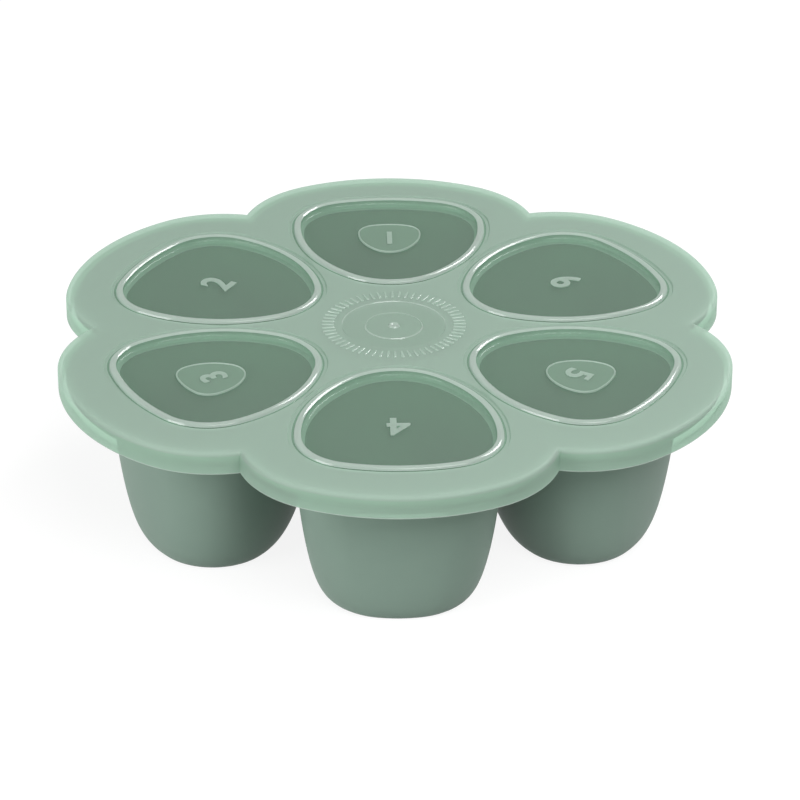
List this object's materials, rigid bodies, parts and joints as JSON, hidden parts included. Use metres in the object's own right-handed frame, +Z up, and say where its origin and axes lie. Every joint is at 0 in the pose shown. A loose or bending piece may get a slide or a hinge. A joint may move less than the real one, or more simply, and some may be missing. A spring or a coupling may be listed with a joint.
{
  "type": "baby food freezer tray",
  "caption": "Flower-shaped soft silicone freezer tray with deep rounded cups under one flat rim, and a translucent snap lid with clear sunk windows over the cups.",
  "frame": {"origin": "on the surface that the cups stand on, under the middle of the tray", "axes": "+Z up, out of the cups' mouths; -Y along the first petal's axis; +X to the right, between two petals"},
  "size_m": [0.227, 0.24, 0.0616],
  "materials": {
    "silicone": "matt, sage green",
    "frosted_polypropylene": "satin frosted top with polished clear windows, pale green"
  },
  "bodies": {
    "tray": {"silicone_tray": "silicone"},
    "lid": {"lid": "frosted_polypropylene"}
  },
  "joints": [
    {"name": "lid_lift", "type": "slide", "parent": "tray", "child": "lid", "axis": [0, 0, 1], "range_m": [0, 0.08]}
  ]
}
